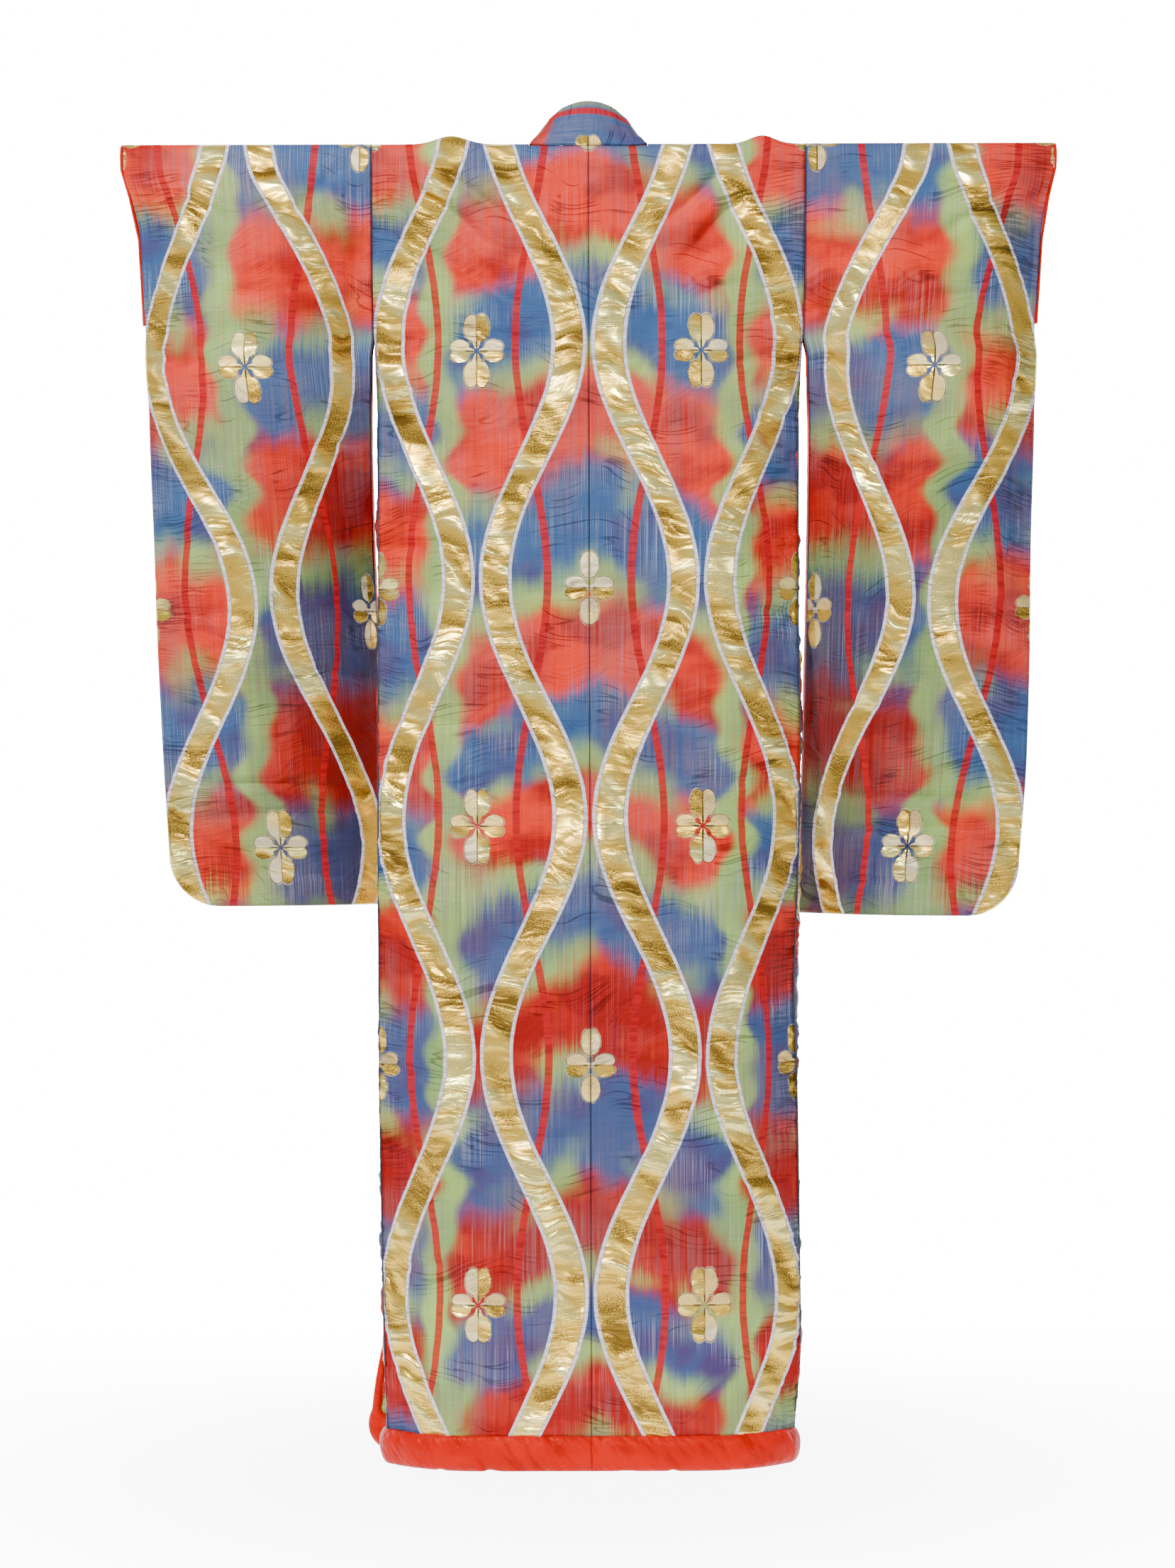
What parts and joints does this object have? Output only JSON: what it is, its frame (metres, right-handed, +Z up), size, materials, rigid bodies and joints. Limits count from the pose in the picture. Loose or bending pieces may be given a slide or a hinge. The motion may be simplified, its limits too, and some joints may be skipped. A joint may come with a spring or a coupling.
{
  "type": "uchikake wedding kimono",
  "caption": "Uchikake, a long padded-hem wedding robe of banded floral silk, hung from a rod through its open sleeves with its fronts turned back",
  "frame": {"origin": "the centre of the rod that the robe hangs on, half way along it", "axes": "+Z up, +Y toward the robe's front with its open edges, -Y toward its back, +X along the rod toward the wearer's right sleeve"},
  "size_m": [1.3442, 0.2252, 1.959],
  "materials": {
    "patterned_silk": "silk with a soft sheen, flat gold and silver weft and blurred dyed colours",
    "collar_silk": "the same silk, mostly its blue and green parts",
    "red_satin": "bright red silk satin",
    "rod_wood": "pale, satin"
  },
  "bodies": {
    "root": {"rod": "rod_wood", "collar": "collar_silk", "body_left": "patterned_silk", "body_right": "patterned_silk", "okumi_left": "patterned_silk", "okumi_right": "patterned_silk", "sleeve_left": "patterned_silk", "sleeve_right": "patterned_silk", "cuff_roll_left": "red_satin", "cuff_roll_right": "red_satin", "hem_roll_left": "red_satin", "hem_roll_right": "red_satin"}
  },
  "joints": []
}
